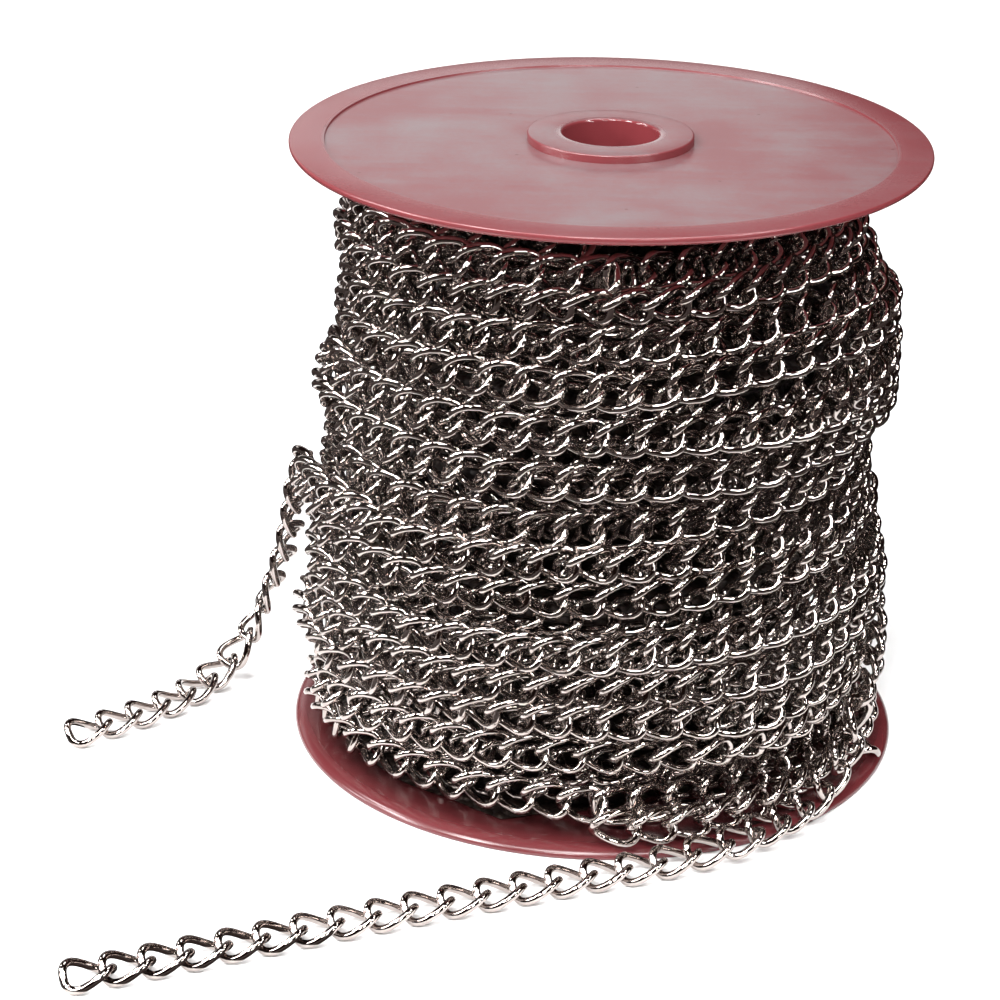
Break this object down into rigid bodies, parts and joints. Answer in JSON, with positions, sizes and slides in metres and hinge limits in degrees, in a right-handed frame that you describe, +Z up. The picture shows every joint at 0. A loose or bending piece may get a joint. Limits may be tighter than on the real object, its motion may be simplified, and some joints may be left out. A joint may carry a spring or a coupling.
{
  "type": "reel of chain",
  "caption": "Flanged plastic reel wound full with bright steel curb chain, standing on end, with two loose strands lying beside it.",
  "frame": {"origin": "on the floor, on the reel's axis, under the lower flange", "axes": "+Z up along the reel's axis. The front strand lies towards -Y and both strands run off towards -X"},
  "size_m": [0.2729, 0.2861, 0.202],
  "materials": {
    "red_plastic": "moulded, satin to glossy",
    "nickel_plated_steel": "bright nickel plate on steel wire"
  },
  "bodies": {
    "root": {"top_flange": "red_plastic", "bottom_flange": "red_plastic", "barrel": "red_plastic", "winding_core": "nickel_plated_steel", "winding_outer_turns": "nickel_plated_steel", "front_link_01": "nickel_plated_steel", "front_link_02": "nickel_plated_steel", "front_link_03": "nickel_plated_steel", "front_link_04": "nickel_plated_steel", "front_link_05": "nickel_plated_steel", "front_link_06": "nickel_plated_steel", "front_link_07": "nickel_plated_steel", "front_link_08": "nickel_plated_steel", "front_link_09": "nickel_plated_steel", "front_link_10": "nickel_plated_steel", "front_link_11": "nickel_plated_steel", "front_link_12": "nickel_plated_steel", "front_link_13": "nickel_plated_steel", "front_link_14": "nickel_plated_steel", "front_link_15": "nickel_plated_steel", "front_link_16": "nickel_plated_steel", "front_link_17": "nickel_plated_steel", "front_link_18": "nickel_plated_steel", "front_link_19": "nickel_plated_steel", "front_link_20": "nickel_plated_steel", "front_link_21": "nickel_plated_steel", "front_link_22": "nickel_plated_steel", "front_link_23": "nickel_plated_steel", "front_link_24": "nickel_plated_steel", "front_link_25": "nickel_plated_steel", "back_link_01": "nickel_plated_steel", "back_link_02": "nickel_plated_steel", "back_link_03": "nickel_plated_steel", "back_link_04": "nickel_plated_steel", "back_link_05": "nickel_plated_steel", "back_link_06": "nickel_plated_steel", "back_link_07": "nickel_plated_steel", "back_link_08": "nickel_plated_steel", "back_link_09": "nickel_plated_steel", "back_link_10": "nickel_plated_steel", "back_link_11": "nickel_plated_steel", "back_link_12": "nickel_plated_steel", "back_link_13": "nickel_plated_steel", "back_link_14": "nickel_plated_steel"}
  },
  "joints": []
}
